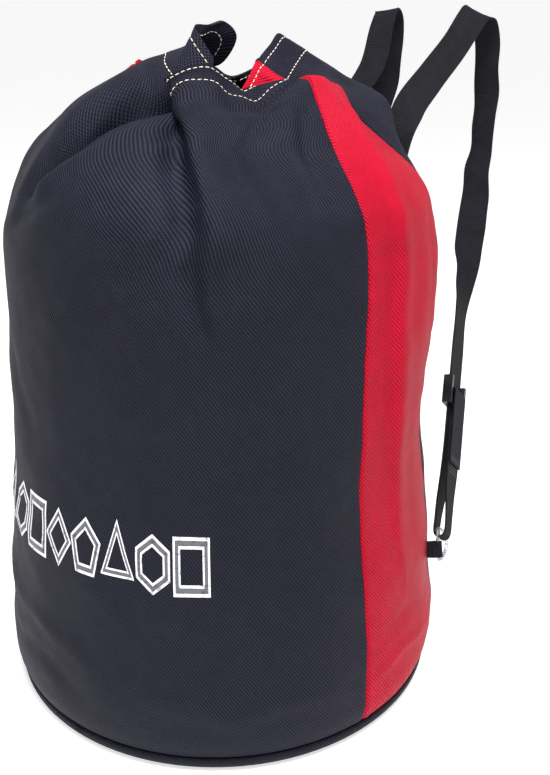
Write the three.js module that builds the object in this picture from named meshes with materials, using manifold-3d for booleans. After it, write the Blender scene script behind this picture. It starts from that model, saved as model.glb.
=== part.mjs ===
// Drawstring gear backpack: a round soft bag that stands on its base, with a gathered mouth,
// red side panels and two webbing shoulder straps on its back.
// Millimetres, +Z up, front towards -Y, straps towards +Y. The origin is the centre of the base,
// on the floor. Azimuths are in degrees: 0 is the front, 90 the bag's +X side, 180 the back.

import * as THREE from 'three';
import * as BufferGeometryUtils from 'three/addons/utils/BufferGeometryUtils.js';
import Module from 'manifold-3d';

const wasm = await Module();
wasm.setup();

// ---------- driving dimensions ----------

const FRONT_SEAM = 75.5;      // azimuth of the seams between the front and the side panels
const BACK_SEAM = 115.5;      // azimuth of the seams between the side panels and the back
const SEAM_GAP = 0.15;        // degrees left free on each side of a seam
const FABRIC = 2.4;           // wall thickness: coated fabric with its seams and hem
const BASE_RADIUS = 198;
const BASE_EDGE = 13.8;       // height of the base's turned-up edge
const MOUTH_SHIFT = [14, 11]; // the gathered mouth stands a little off the middle
const PLEATS = 9;
const PLEAT_DEPTH = 0.14;     // part of the mouth's radius
const GATHER_START = 0.72;    // part of the wall's height where the pleats begin
const WALL_ROWS = 18;         // facets from the base seam to the hem

// Half section of the wall from the base seam to the hem's edge: radius and height.
const WALL_SECTION = [
  [198, 14.2], [201.5, 50], [196, 120], [187, 220], [182, 320], [182, 400], [176, 455],
  [158, 492], [128, 518], [98, 536], [74, 552], [66, 566],
];

const WEBBING = 30;           // strap width
const WEBBING_THICK = 1.8;
const BUNCHED = 15;           // strap width where it is bunched in the ring
const TOUCH = 0.3;            // gap between pieces that touch

const WIRE = 1.75;            // radius of the ring's wire
const RING_HALF_BAR = 16;     // half the length of the ring's straight side
const RING_REACH = 24;        // from the straight side to the crown of the curve
const RING_BAR = [186, 86, 122];      // middle of the right ring's straight side
const STRAP_START = [77, 190, 496];   // where the right strap leaves its sewn root
const STRAP_PULL = [-0.28, 0.64, 0.715]; // direction in which the strap leaves the ring
const LOOP_LENGTH = 135;      // from the ring to the middle of the slider
const STRAIGHT_END = 232;     // the strap runs straight this far from the ring
const LOOP_HALF = 5.3;        // half the distance between the loop's two legs at the ring
const LEG_HALF = 4.7;         // distance between the two legs beside the slider

const PATCH_HALF_ANGLE = 8.5; // degrees
const PATCH_BAND = [0.63, 0.725]; // where the anchor patches lie on the wall
const EYELET_RADIUS = 6;

// ---------- materials ----------

const fabric = (color) => new THREE.MeshStandardMaterial({ color, roughness: 0.75, metalness: 0 });
const blackCloth = fabric(0x23232d);
const redCloth = fabric(0xc01f33);
const webbing = fabric(0x1c1c24);
const tape = fabric(0x17171c);
const plastic = new THREE.MeshStandardMaterial({ color: 0x141417, roughness: 0.35, metalness: 0 });
const steel = new THREE.MeshStandardMaterial({ color: 0xc8ccd2, roughness: 0.2, metalness: 1 });

// ---------- shape tools ----------

const group = new THREE.Group();
const vec = (p) => new THREE.Vector3(...p);

function add(name, geometry, material) {
  const mesh = new THREE.Mesh(geometry, material);
  mesh.name = name;
  group.add(mesh);
  return mesh;
}

function signedVolume(points, index) {
  let sum = 0;
  for (let i = 0; i < index.length; i += 3) {
    const [a, b, c] = [points[index[i]], points[index[i + 1]], points[index[i + 2]]];
    sum += a.dot(new THREE.Vector3().crossVectors(b, c));
  }
  return sum / 6;
}

// A closed body from points and triangles, mirrored across X = 0 when side is -1.
function body(points, index, side = 1) {
  const placed = points.map((p) => new THREE.Vector3(p.x * side, p.y, p.z));
  const facing = signedVolume(placed, index) < 0 ? [...index].reverse() : index;
  const geometry = new THREE.BufferGeometry();
  geometry.setAttribute('position', new THREE.Float32BufferAttribute(placed.flatMap((p) => p.toArray()), 3));
  geometry.setIndex(facing);
  return geometry;
}

// Joins a row of equal loops of points. An open row is capped by a strip between each end loop's
// two halves, so a loop runs up one face and down the other.
function loft(loops, { closed = false, side = 1 } = {}) {
  const size = loops[0].length;
  const index = [];
  const quad = (a, b, c, d) => index.push(a, b, c, a, c, d);
  const rows = closed ? loops.length : loops.length - 1;
  for (let i = 0; i < rows; i++) {
    const next = (i + 1) % loops.length;
    for (let j = 0; j < size; j++) {
      const k = (j + 1) % size;
      quad(i * size + j, i * size + k, next * size + k, next * size + j);
    }
  }
  if (!closed) {
    const last = (loops.length - 1) * size;
    for (let j = 0; j < size / 2 - 1; j++) {
      quad(j, size - 1 - j, size - 2 - j, j + 1);
      quad(last + j, last + j + 1, last + size - 2 - j, last + size - 1 - j);
    }
  }
  return body(loops.flat(), index, side);
}

// A flat strip: stations give the middle, the direction across the strip and its width.
function strip(stations, thickness, side = 1) {
  const loops = stations.map(({ at, across, along, width }) => {
    const flat = across.clone().addScaledVector(along, -across.dot(along)).normalize();
    const face = new THREE.Vector3().crossVectors(along, flat).normalize();
    const corner = (w, n) => at.clone().addScaledVector(flat, (w * width) / 2)
      .addScaledVector(face, (n * thickness) / 2);
    return [corner(-1, 1), corner(1, 1), corner(1, -1), corner(-1, -1)];
  });
  return loft(loops, { side });
}

// Stations along a smooth curve through points, turning from one across direction to the next.
function stationsAlong(points, across, widths, count) {
  const path = new THREE.CatmullRomCurve3(points, false, 'centripetal');
  const turn = new THREE.CatmullRomCurve3(across, false, 'catmullrom', 0.5);
  const last = points.length - 1;
  const stations = [];
  for (let i = 0; i <= count; i++) {
    const t = i / count;
    const k = Math.min(Math.floor(t * last), last - 1);
    const width = THREE.MathUtils.lerp(widths[k], widths[k + 1], t * last - k);
    stations.push({ at: path.getPoint(t), along: path.getTangent(t), across: turn.getPoint(t), width });
  }
  return stations;
}

function toManifold(geometry) {
  const plain = geometry.clone();
  plain.deleteAttribute('normal');
  plain.deleteAttribute('uv');
  const merged = BufferGeometryUtils.mergeVertices(plain, 1e-4);
  return new wasm.Manifold(new wasm.Mesh({
    numProp: 3,
    vertProperties: new Float32Array(merged.attributes.position.array),
    triVerts: new Uint32Array(merged.index.array),
  }));
}

function box(x0, x1, y0, y1, z0, z1) {
  const geometry = new THREE.BoxGeometry(x1 - x0, y1 - y0, z1 - z0);
  geometry.translate((x0 + x1) / 2, (y0 + y1) / 2, (z0 + z1) / 2);
  return geometry;
}

// ---------- the bag's wall ----------

const section = new THREE.SplineCurve(WALL_SECTION.map((p) => new THREE.Vector2(...p)));

// A point on the wall: azimuth in degrees, part of the way up the fabric, distance outside it.
function wall(azimuth, t, offset = 0) {
  const point = section.getPointAt(t);
  const tangent = section.getTangentAt(t);
  const gather = THREE.MathUtils.smoothstep(t, GATHER_START, 1);
  const a = THREE.MathUtils.degToRad(azimuth);
  const pleat = 1 + PLEAT_DEPTH * gather * Math.cos(PLEATS * a);
  const radius = (point.x + offset * tangent.y) * pleat;
  return new THREE.Vector3(
    radius * Math.sin(a) + MOUTH_SHIFT[0] * gather,
    -radius * Math.cos(a) + MOUTH_SHIFT[1] * gather,
    point.y - offset * tangent.x,
  );
}

// A piece of cloth that follows the wall between two azimuths and two heights.
function wallCloth(from, to, bottom, top, inner, outer, columns, rows) {
  const loops = [];
  for (let i = 0; i <= columns; i++) {
    const azimuth = THREE.MathUtils.lerp(from, to, i / columns);
    const face = (offset) => Array.from({ length: rows + 1 }, (_, j) =>
      wall(azimuth, THREE.MathUtils.lerp(bottom, top, j / rows), offset));
    loops.push([...face(outer), ...face(inner).reverse()]);
  }
  return loft(loops);
}

function bodyPanels() {
  const panel = (name, from, to, columns, material) => add(
    name,
    wallCloth(from + SEAM_GAP, to - SEAM_GAP, 0, 1, -FABRIC, 0, columns, WALL_ROWS),
    material,
  );
  panel('front_panel', -FRONT_SEAM, FRONT_SEAM, 20, blackCloth);
  panel('right_side_panel', FRONT_SEAM, BACK_SEAM, 7, redCloth);
  panel('back_panel', BACK_SEAM, 360 - BACK_SEAM, 20, blackCloth);
  panel('left_side_panel', 360 - BACK_SEAM, 360 - FRONT_SEAM, 7, redCloth);
}

function base() {
  const bend = 9;             // radius of the turn into the upright edge
  const outline = [new THREE.Vector2(0, 0)];
  const arc = (radius, steps, reverse) => {
    const points = [];
    for (let i = 0; i <= steps; i++) {
      const a = ((Math.PI / 2) * i) / steps;
      points.push(new THREE.Vector2(
        BASE_RADIUS - bend + radius * Math.sin(a),
        bend - radius * Math.cos(a),
      ));
    }
    return reverse ? points.reverse() : points;
  };
  outline.push(...arc(bend, 4, false));
  outline.push(new THREE.Vector2(BASE_RADIUS, BASE_EDGE));
  outline.push(new THREE.Vector2(BASE_RADIUS - FABRIC, BASE_EDGE));
  outline.push(...arc(bend - FABRIC, 4, true));
  outline.push(new THREE.Vector2(0, FABRIC));
  const geometry = new THREE.LatheGeometry(outline, 48);
  geometry.rotateX(Math.PI / 2);
  add('base_panel', geometry, blackCloth);
}

function seamBindings() {
  const depth = 9;
  const thick = 3;
  const clear = 1.2;          // distance from the wall's inner face
  const ring = [[184, 14.5], [194.6, 14.5], [194.6, 17.5], [184, 17.5], [184, 14.5]];
  const geometry = new THREE.LatheGeometry(ring.map((p) => new THREE.Vector2(...p)), 48);
  geometry.rotateX(Math.PI / 2);
  add('base_seam_binding', geometry, tape);

  const upright = (name, azimuth) => {
    const a = THREE.MathUtils.degToRad(azimuth);
    const aside = new THREE.Vector3(Math.cos(a), Math.sin(a), 0).multiplyScalar(thick / 2);
    const loops = [];
    for (let row = 1; row <= GATHER_START * WALL_ROWS; row++) {
      const t = row / WALL_ROWS;
      const near = wall(azimuth, t, -FABRIC - clear);
      const far = wall(azimuth, t, -FABRIC - clear - depth);
      loops.push([near.clone().add(aside), far.clone().add(aside), far.clone().sub(aside), near.clone().sub(aside)]);
    }
    add(name, loft(loops), tape);
  };
  upright('front_right_seam_binding', FRONT_SEAM);
  upright('back_right_seam_binding', BACK_SEAM);
  upright('back_left_seam_binding', -BACK_SEAM);
  upright('front_left_seam_binding', -FRONT_SEAM);
}

// ---------- strap directions, worked out on the right side ----------

const ringBar = vec(RING_BAR);
const strapStart = vec(STRAP_START);
const barAxis = strapStart.clone().sub(ringBar).normalize();
const pull = vec(STRAP_PULL).normalize();
const reach = pull.clone().addScaledVector(barAxis, -pull.dot(barAxis)).normalize();
const faceOut = new THREE.Vector3().crossVectors(barAxis, reach);
const acrossRun = new THREE.Vector3().crossVectors(pull, faceOut);

// The strap pulls the ring where the curve of the ring faces the pull.
const pullAngle = Math.atan2(pull.dot(barAxis) * RING_HALF_BAR, pull.dot(reach) * RING_REACH);
const crown = ringBar.clone()
  .addScaledVector(barAxis, RING_HALF_BAR * Math.sin(pullAngle))
  .addScaledVector(reach, RING_REACH * Math.cos(pullAngle));

// A point beside the straight stretch: along it from the ring, and off its face.
const onRun = (along, off = 0) => crown.clone().addScaledVector(pull, along).addScaledVector(faceOut, off);

// Each shoulder strap's upper run: middle of the webbing and the direction across it, for a
// strap on the +X side. The two straps hang differently.
const RIGHT_RUN = [
  [[72, 240, 520], [0.54, 0.36, -0.76]],
  [[66, 300, 546], [0.54, 0.36, -0.76]],
  [[60, 345, 568], [0.70, 0.25, -0.60]],
  [[58, 365, 576], [0.85, 0.15, -0.45]],
  [[59, 380, 570], [0.97, 0.00, -0.20]],
  [[61, 389, 548], [1.00, -0.05, 0.00]],
  [[63, 390, 505], [1.00, -0.10, 0.00]],
  [[72, 368, 440], [0.95, -0.30, 0.00]],
  [[86, 330, 385], [0.90, 0.05, 0.00]],
  [[101, 291, 337], [0.65, 0.45, -0.45]],
];
const LEFT_RUN = [
  [[70, 240, 486], [0.85, -0.15, -0.40]],
  [[58, 305, 492], [0.90, -0.30, -0.20]],
  [[52, 342, 520], [0.92, -0.25, -0.10]],
  [[56, 368, 562], [0.95, -0.05, -0.15]],
  [[58, 382, 576], [0.98, 0.05, -0.15]],
  [[60, 396, 566], [1.00, 0.00, -0.10]],
  [[62, 397, 520], [1.00, -0.10, 0.00]],
  [[70, 375, 448], [0.95, -0.20, 0.00]],
  [[85, 333, 388], [0.90, 0.05, 0.00]],
  [[101, 292, 338], [0.65, 0.45, -0.45]],
];

// ---------- strap pieces, one side at a time ----------

const ANCHOR_Y = 150;         // how far behind the middle the straps are sewn on
const ANCHOR_AZIMUTH = THREE.MathUtils.radToDeg(Math.atan2(STRAP_START[0], -ANCHOR_Y));
const PATCH_THICK = 1.4;
const STEPS = 3;              // facets between two points of the webbing's route

// The whole length of one strap's webbing, from its sewn root over the shoulder, straight through
// the slider, round the ring and back up: points with the direction across and the width.
function webbingRoute(run) {
  const lift = TOUCH * 2 + PATCH_THICK + WEBBING_THICK;
  const flat = new THREE.Vector3(0.89, -0.45, 0);
  const root = [
    [wall(ANCHOR_AZIMUTH, 0.64, lift), flat], [wall(ANCHOR_AZIMUTH, 0.68, lift), flat],
    [wall(ANCHOR_AZIMUTH, 0.715, lift + 1), flat],
    [new THREE.Vector3(78.5, 173, 472), new THREE.Vector3(0.85, -0.3, -0.25)],
    [strapStart, new THREE.Vector3(0.72, 0.05, -0.55)],
  ].map((row) => [...row, WEBBING]);
  const shoulder = run.map(([at, across]) => [vec(at), vec(across), WEBBING]);
  const turned = acrossRun.clone().negate();
  const beside = (rows) => rows.map(([along, off, width]) => [onRun(along, off), turned, width]);
  const straight = beside([
    [STRAIGHT_END, 0, WEBBING], [185, 0, WEBBING], [LOOP_LENGTH, 0, WEBBING], [75, 0, WEBBING],
    [50, 1.6, 26], [25, 4.3, 19], [8, LOOP_HALF, BUNCHED],
  ]);
  const bottom = -4;          // centre of the turn round the wire
  const turnRows = [0, 45, 90, 135, 180].map(THREE.MathUtils.degToRad).map((a) => [
    bottom - LOOP_HALF * Math.sin(a), LOOP_HALF * Math.cos(a), BUNCHED,
  ]);
  const back = beside([
    ...turnRows, [14, -LOOP_HALF, 17], [32, -LEG_HALF, 22], [52, -LEG_HALF, 27],
    [75, -LEG_HALF, WEBBING], [104, -LEG_HALF, WEBBING],
  ]);
  return { route: [...root, ...shoulder, ...straight, ...back], pieces: [root, shoulder, straight] };
}

function anchorPatch(sideName, side) {
  const middle = side * ANCHOR_AZIMUTH;
  const patch = wallCloth(
    middle - PATCH_HALF_ANGLE, middle + PATCH_HALF_ANGLE, ...PATCH_BAND,
    TOUCH, TOUCH + PATCH_THICK, 4, 4,
  );
  add(`${sideName}_anchor_patch`, patch, webbing);
}

// The webbing is cut into its root, its shoulder strap and its loop, with a gap at each cut.
function strapWebbing(sideName, side, run) {
  const { route, pieces } = webbingRoute(run);
  const stations = stationsAlong(
    route.map((r) => r[0]), route.map((r) => r[1]), route.map((r) => r[2]), STEPS * (route.length - 1),
  );
  const rootEnd = STEPS * (pieces[0].length - 1);
  const loopStart = STEPS * (pieces.flat().length - 1);
  const piece = (name, from, to) => {
    const part = stations.slice(from, to + 1).map((s) => ({ ...s, at: s.at.clone() }));
    const end = part[part.length - 1];
    end.at.addScaledVector(end.along, -TOUCH);
    add(`${sideName}_${name}`, strip(part, WEBBING_THICK, side), webbing);
  };
  piece('strap_root', 0, rootEnd);
  piece('shoulder_strap', rootEnd, loopStart);
  piece('strap_loop', loopStart, stations.length - 1);
}

// The webbing's end lies on the loop's outer leg and is turned round the slider's middle bar.
function strapEnd(sideName, side) {
  const thick = 1.6;
  const outer = LEG_HALF + WEBBING_THICK / 2 + TOUCH + thick / 2;
  const inner = WEBBING_THICK / 2 + TOUCH + thick / 2;
  const half = (outer - inner) / 2;
  const middle = (outer + inner) / 2;
  const points = [onRun(62, -outer), onRun(90, -outer), onRun(LOOP_LENGTH - 8, -outer)];
  for (let i = 0; i <= 4; i++) {
    const a = (Math.PI * i) / 4;
    points.push(onRun(LOOP_LENGTH + 3 * Math.sin(a), -middle - half * Math.cos(a)));
  }
  points.push(onRun(LOOP_LENGTH - 8, -inner), onRun(LOOP_LENGTH - 15, -inner));
  const across = points.map(() => acrossRun);
  const widths = points.map(() => WEBBING - 1);
  add(`${sideName}_strap_end`, strip(stationsAlong(points, across, widths, 36), thick, side), webbing);
}

// The slider's frame: two rails, two bars on the strap's outer face and one behind it.
function slider(sideName, side) {
  const half = 20;            // half its width, across the strap
  const rail = 15.6;
  const long = 14.5;          // half its length, along the strap
  const bars = [
    box(-5.1, 4.2, -half, -rail, -long, long), box(-5.1, 4.2, rail, half, -long, long),
    box(1.2, 4.2, -half, half, long - 3.6, long), box(1.2, 4.2, -half, half, -long, 3.6 - long),
    box(-5.1, -3.6, -half, half, -1.2, 1.2),
  ];
  const joined = bars.map(toManifold).reduce((sum, bar) => sum.add(bar)).getMesh();
  const frame = new THREE.Matrix4().makeBasis(faceOut, acrossRun, pull).setPosition(onRun(LOOP_LENGTH));
  const points = [];
  for (let i = 0; i < joined.vertProperties.length; i += joined.numProp) {
    const [x, y, z] = joined.vertProperties.slice(i, i + 3);
    points.push(new THREE.Vector3(x, y, z).applyMatrix4(frame));
  }
  add(`${sideName}_slider`, body(points, Array.from(joined.triVerts), side), plastic);
}

function ringWire(sideName, side) {
  const around = 8;
  const centres = [];
  const curveSteps = 20;
  for (let i = 0; i <= curveSteps; i++) {
    const a = Math.PI * (i / curveSteps - 0.5);
    centres.push(ringBar.clone()
      .addScaledVector(barAxis, (RING_HALF_BAR - WIRE) * Math.sin(a))
      .addScaledVector(reach, (RING_REACH - WIRE) * Math.cos(a)));
  }
  for (const part of [0.5, 0, -0.5]) {
    centres.push(ringBar.clone().addScaledVector(barAxis, RING_HALF_BAR * part));
  }
  const loops = centres.map((at, i) => {
    const before = centres[(i + centres.length - 1) % centres.length];
    const after = centres[(i + 1) % centres.length];
    const along = after.clone().sub(before).normalize();
    const out = new THREE.Vector3().crossVectors(along, faceOut).normalize();
    return Array.from({ length: around }, (_, j) => {
      const a = (2 * Math.PI * j) / around;
      return at.clone().addScaledVector(out, WIRE * Math.cos(a)).addScaledVector(faceOut, WIRE * Math.sin(a));
    });
  });
  add(`${sideName}_ring`, loft(loops, { closed: true, side }), steel);
}

// Webbing folded round the ring's straight side, with both legs at the back seam.
function ringTab(sideName, side) {
  const width = 15;
  const low = -4;             // the tab holds the lower part of the straight side
  const thick = 1.4;
  const turn = 3.1;           // radius of the fold at the middle of the webbing
  const inward = new THREE.Vector3(-Math.sin(THREE.MathUtils.degToRad(BACK_SEAM)),
    Math.cos(THREE.MathUtils.degToRad(BACK_SEAM)), 0);
  inward.addScaledVector(barAxis, -inward.dot(barAxis)).normalize();
  const aside = new THREE.Vector3().crossVectors(barAxis, inward);
  const leg = 5;
  const at = (deep, off) => ringBar.clone().addScaledVector(barAxis, low)
    .addScaledVector(inward, deep).addScaledVector(aside, off);
  const points = [at(leg, turn), at(leg / 2, turn)];
  for (let i = 0; i <= 6; i++) {
    const a = (Math.PI * i) / 6;
    points.push(at(-turn * Math.sin(a), turn * Math.cos(a)));
  }
  points.push(at(leg / 2, -turn), at(leg, -turn));
  const across = points.map(() => barAxis);
  const stations = stationsAlong(points, across, points.map(() => width), 22);
  add(`${sideName}_ring_tab`, strip(stations, thick, side), webbing);
}

// A pressed eyelet on the back of the hem, where a drawcord comes out.
function cordEyelet(sideName, side) {
  const outline = [[3, -0.8], [EYELET_RADIUS, -0.8], [5.2, 0.8], [3.4, 0.8], [3, -0.8]];
  const geometry = new THREE.LatheGeometry(outline.map((p) => new THREE.Vector2(...p)), 16);
  const azimuth = side * 160;
  const at = wall(azimuth, 0.955, 3.4);
  const out = wall(azimuth, 0.955, 12).sub(wall(azimuth, 0.955, 2)).normalize();
  const up = wall(azimuth, 0.965, 2).sub(wall(azimuth, 0.945, 2)).normalize();
  const across = new THREE.Vector3().crossVectors(out, up).normalize();
  const eyelet = add(`${sideName}_cord_eyelet`, geometry, steel);
  const frame = new THREE.Matrix4().makeBasis(across, out, new THREE.Vector3().crossVectors(across, out));
  eyelet.quaternion.setFromRotationMatrix(frame);
  eyelet.position.copy(at);
}

// ---------- the whole bag ----------

bodyPanels();
base();
seamBindings();
for (const [sideName, side, run] of [['right', 1, RIGHT_RUN], ['left', -1, LEFT_RUN]]) {
  anchorPatch(sideName, side);
  strapWebbing(sideName, side, run);
  strapEnd(sideName, side);
  slider(sideName, side);
  ringWire(sideName, side);
  ringTab(sideName, side);
  cordEyelet(sideName, side);
}

export default group;
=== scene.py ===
"""Drawstring gear backpack: the looks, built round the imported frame.

The frame's origin is the centre of the base. Shapes are worked out in millimetres and turned into
metres when a mesh is made. Azimuths are in degrees: 0 is the front (-Y), 90 is +X, 180 the back.
"""
import math

import bmesh
import bpy
import numpy as np
from mathutils import Euler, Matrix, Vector


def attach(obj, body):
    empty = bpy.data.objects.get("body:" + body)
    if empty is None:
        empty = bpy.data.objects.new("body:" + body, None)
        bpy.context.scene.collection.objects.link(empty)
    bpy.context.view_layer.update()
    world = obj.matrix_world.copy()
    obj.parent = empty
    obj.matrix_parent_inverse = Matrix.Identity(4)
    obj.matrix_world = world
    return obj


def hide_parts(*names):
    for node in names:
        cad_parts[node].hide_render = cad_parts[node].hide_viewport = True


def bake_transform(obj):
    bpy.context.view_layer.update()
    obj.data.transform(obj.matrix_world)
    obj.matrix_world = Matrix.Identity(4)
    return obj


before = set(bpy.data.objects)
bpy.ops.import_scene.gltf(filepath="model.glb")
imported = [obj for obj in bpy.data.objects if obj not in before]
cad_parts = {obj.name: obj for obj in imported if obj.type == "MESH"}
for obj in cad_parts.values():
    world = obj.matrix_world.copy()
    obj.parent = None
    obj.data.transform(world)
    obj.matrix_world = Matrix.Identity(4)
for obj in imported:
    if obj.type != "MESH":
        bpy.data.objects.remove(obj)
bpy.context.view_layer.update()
MM = 0.001

# ---------- camera, lights and floor ----------

VIEW_TURN = 39.0  # azimuth that the camera stands on
CAMERA_DISTANCE = 0.844  # from the bag's axis
CAMERA_HEIGHT = 0.604
CAMERA_TILT = 68.0  # from straight down
CAMERA_PAN = -3.41  # away from the bag's axis
CAMERA_LENS = 46.45
FLOOR_HALF = 60


def add_camera():
    camera = bpy.data.objects.new("camera", bpy.data.cameras.new("camera"))
    bpy.context.scene.collection.objects.link(camera)
    turn = math.radians(VIEW_TURN)
    camera.location = (CAMERA_DISTANCE * math.sin(turn), -CAMERA_DISTANCE * math.cos(turn), CAMERA_HEIGHT)
    camera.rotation_euler = Euler((math.radians(CAMERA_TILT), 0, math.radians(VIEW_TURN + CAMERA_PAN)))
    camera.data.lens = CAMERA_LENS
    camera.data.sensor_width = 36
    camera.data.clip_start = 0.01
    bpy.context.scene.camera = camera


def add_light(name, azimuth, height, distance, size, power, aim=0.30):
    """A soft round light that points at the bag's axis, at the height given by aim."""
    light = bpy.data.lights.new(name, "AREA")
    light.shape = "DISK"
    light.size = size
    light.energy = power
    item = bpy.data.objects.new(name, light)
    bpy.context.scene.collection.objects.link(item)
    turn = math.radians(azimuth)
    item.location = (distance * math.sin(turn), -distance * math.cos(turn), height)
    item.rotation_euler = (Vector((0, 0, aim)) - item.location).to_track_quat("-Z", "Y").to_euler()


def add_sky(tree):
    """White at the level of the horizon, where it meets the floor, and greyer above."""
    direction = tree.nodes.new("ShaderNodeTexCoord")
    parts = tree.nodes.new("ShaderNodeSeparateXYZ")
    fall = tree.nodes.new("ShaderNodeMapRange")
    for socket, value in (("From Min", 0.0), ("From Max", 0.35), ("To Min", 0.95), ("To Max", 0.48)):
        fall.inputs[socket].default_value = value
    tree.links.new(direction.outputs["Generated"], parts.inputs["Vector"])
    tree.links.new(parts.outputs["Z"], fall.inputs["Value"])
    tree.links.new(fall.outputs[0], tree.nodes["Background"].inputs["Strength"])
    tree.nodes["Background"].inputs["Color"].default_value = (1, 1, 1, 1)


def add_studio():
    world = bpy.data.worlds.new("studio")
    world.use_nodes = True
    add_sky(world.node_tree)
    bpy.context.scene.world = world
    bpy.context.scene.view_settings.view_transform = "Standard"
    add_light("top", VIEW_TURN + 12, 1.75, 0.5, 0.8, 41, aim=0.45)
    add_light("front", VIEW_TURN + 2, 1.0, 1.6, 0.6, 6)
    corners = [(x * FLOOR_HALF, y * FLOOR_HALF, 0) for x, y in ((-1, -1), (1, -1), (1, 1), (-1, 1))]
    floor = mesh_object("floor", corners, [(0, 1, 2, 3)])
    floor.data.materials.append(plain_floor())


# ---------- meshes ----------


def mesh_object(name, points, faces, uv=None):
    """A mesh object in metres. uv holds one (u, v) for each point."""
    mesh = bpy.data.meshes.new(name)
    mesh.from_pydata([tuple(p) for p in points], [], [tuple(f) for f in faces])
    if uv is not None:
        layer = mesh.uv_layers.new(name="cloth")
        corners = np.empty(len(mesh.loops), dtype=np.int64)
        mesh.loops.foreach_get("vertex_index", corners)
        layer.data.foreach_set("uv", np.asarray(uv, dtype=np.float32)[corners].ravel())
    mesh.update()
    item = bpy.data.objects.new(name, mesh)
    bpy.context.scene.collection.objects.link(item)
    return item


def smooth(item, angle):
    item.data.shade_smooth()
    item.data.set_sharp_from_angle(angle=math.radians(angle))


def outward(item):
    """Turns the faces of a closed mesh outwards."""
    shape = bmesh.new()
    shape.from_mesh(item.data)
    bmesh.ops.recalc_face_normals(shape, faces=shape.faces)
    shape.to_mesh(item.data)
    shape.free()


def grid_faces(rows, columns, closed=False):
    """Quads of a grid of points, row by row. closed joins the last column to the first."""
    faces = []
    for j in range(rows - 1):
        for i in range(columns if closed else columns - 1):
            k = (i + 1) % columns
            faces.append((j * columns + i, j * columns + k, (j + 1) * columns + k, (j + 1) * columns + i))
    return faces


def hoop_faces(rows, columns):
    """Quads of closed rings of points, with the last ring joined to the first."""
    last = (rows - 1) * columns
    closing = [(last + i, last + (i + 1) % columns, (i + 1) % columns, i) for i in range(columns)]
    return grid_faces(rows, columns, closed=True) + closing


def tube_faces(rows, columns):
    """Quads of closed rings of points, with a flat face over the first and the last ring."""
    last = (rows - 1) * columns
    caps = [tuple(reversed(range(columns))), tuple(last + i for i in range(columns))]
    return grid_faces(rows, columns, closed=True) + caps


def closed_body(name, points, faces, uv=None, angle=50):
    """A smooth closed mesh that faces outwards, from points in millimetres."""
    item = mesh_object(name, np.asarray(points) * MM, faces, uv)
    outward(item)
    smooth(item, angle)
    return item


def joined(parts):
    """The points and faces of many small bodies as one list of each."""
    points, faces = [], []
    for part_points, part_faces in parts:
        faces += [tuple(len(points) + v for v in face) for face in part_faces]
        points += list(part_points)
    return np.array(points), faces


def sheet_with_thickness(name, outer, inner, uv):
    """A closed shell of two equal grids of points, shape (rows, columns, 3), joined at the rim."""
    rows, columns = outer.shape[:2]
    count = rows * columns
    points = np.concatenate([outer.reshape(-1, 3), inner.reshape(-1, 3)])
    front = grid_faces(rows, columns)
    faces = front + [tuple(count + v for v in reversed(f)) for f in front]
    rim = list(range(columns))
    rim += [j * columns + columns - 1 for j in range(1, rows)]
    rim += [(rows - 1) * columns + i for i in range(columns - 2, -1, -1)]
    rim += [j * columns for j in range(rows - 2, 0, -1)]
    for a, b in zip(rim, rim[1:] + rim[:1]):
        faces.append((b, a, count + a, count + b))
    return closed_body(name, points, faces, np.concatenate([uv.reshape(-1, 2)] * 2), 60)


# ---------- materials ----------


def new_material(name):
    material = bpy.data.materials.new(name)
    material.use_nodes = True
    return material, Nodes(material.node_tree)


class Nodes:
    """Short calls for building a material's node tree."""

    def __init__(self, tree):
        self.tree = tree
        self.shader = tree.nodes["Principled BSDF"]

    def node(self, kind, inputs=None, **settings):
        node = self.tree.nodes.new(kind)
        for key, value in settings.items():
            setattr(node, key, value)
        for key, value in (inputs or {}).items():
            self.put(node.inputs[key], value)
        return node

    def put(self, socket, value):
        if isinstance(value, bpy.types.NodeSocket):
            self.tree.links.new(value, socket)
        else:
            socket.default_value = value

    def math(self, operation, a, b=0.0, c=0.0):
        node = self.node("ShaderNodeMath", {0: a, 1: b, 2: c}, operation=operation)
        return node.outputs[0]

    def mix(self, factor, low, high):
        """A colour from low, where factor is 0, to high, where it is 1."""
        inputs = {0: factor, 6: (*low, 1), 7: (*high, 1)}
        return self.node("ShaderNodeMix", inputs, data_type="RGBA").outputs[2]

    def ramp(self, value, low, high, low_to=0.0, high_to=1.0):
        inputs = {"Value": value, "From Min": low, "From Max": high, "To Min": low_to, "To Max": high_to}
        return self.node("ShaderNodeMapRange", inputs, clamp=True).outputs[0]

    def noise(self, scale, detail=2.0):
        inputs = {"Scale": scale, "Detail": detail}
        inputs["Vector"] = self.node("ShaderNodeTexCoord").outputs["Object"]
        return self.node("ShaderNodeTexNoise", inputs).outputs["Fac"]

    def cloth_place(self):
        """Across and along the cloth in millimetres, from the pieces' uv."""
        uv = self.node("ShaderNodeUVMap", uv_map="cloth").outputs["UV"]
        parts = self.node("ShaderNodeSeparateXYZ", {"Vector": uv})
        return parts.outputs["X"], parts.outputs["Y"]

    def wave(self, value):
        """A smooth wave from 0 to 1 that repeats each time value grows by 1."""
        turns = self.math("MULTIPLY", value, 2 * math.pi)
        return self.math("MULTIPLY_ADD", self.math("SINE", turns), 0.5, 0.5)

    def bump(self, height, distance, strength, under=None):
        inputs = {"Height": height, "Distance": distance, "Strength": strength}
        if under:
            inputs["Normal"] = under
        return self.node("ShaderNodeBump", inputs).outputs["Normal"]

    def finish(self, **values):
        for key, value in values.items():
            self.put(self.shader.inputs[key.replace("_", " ")], value)


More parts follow.
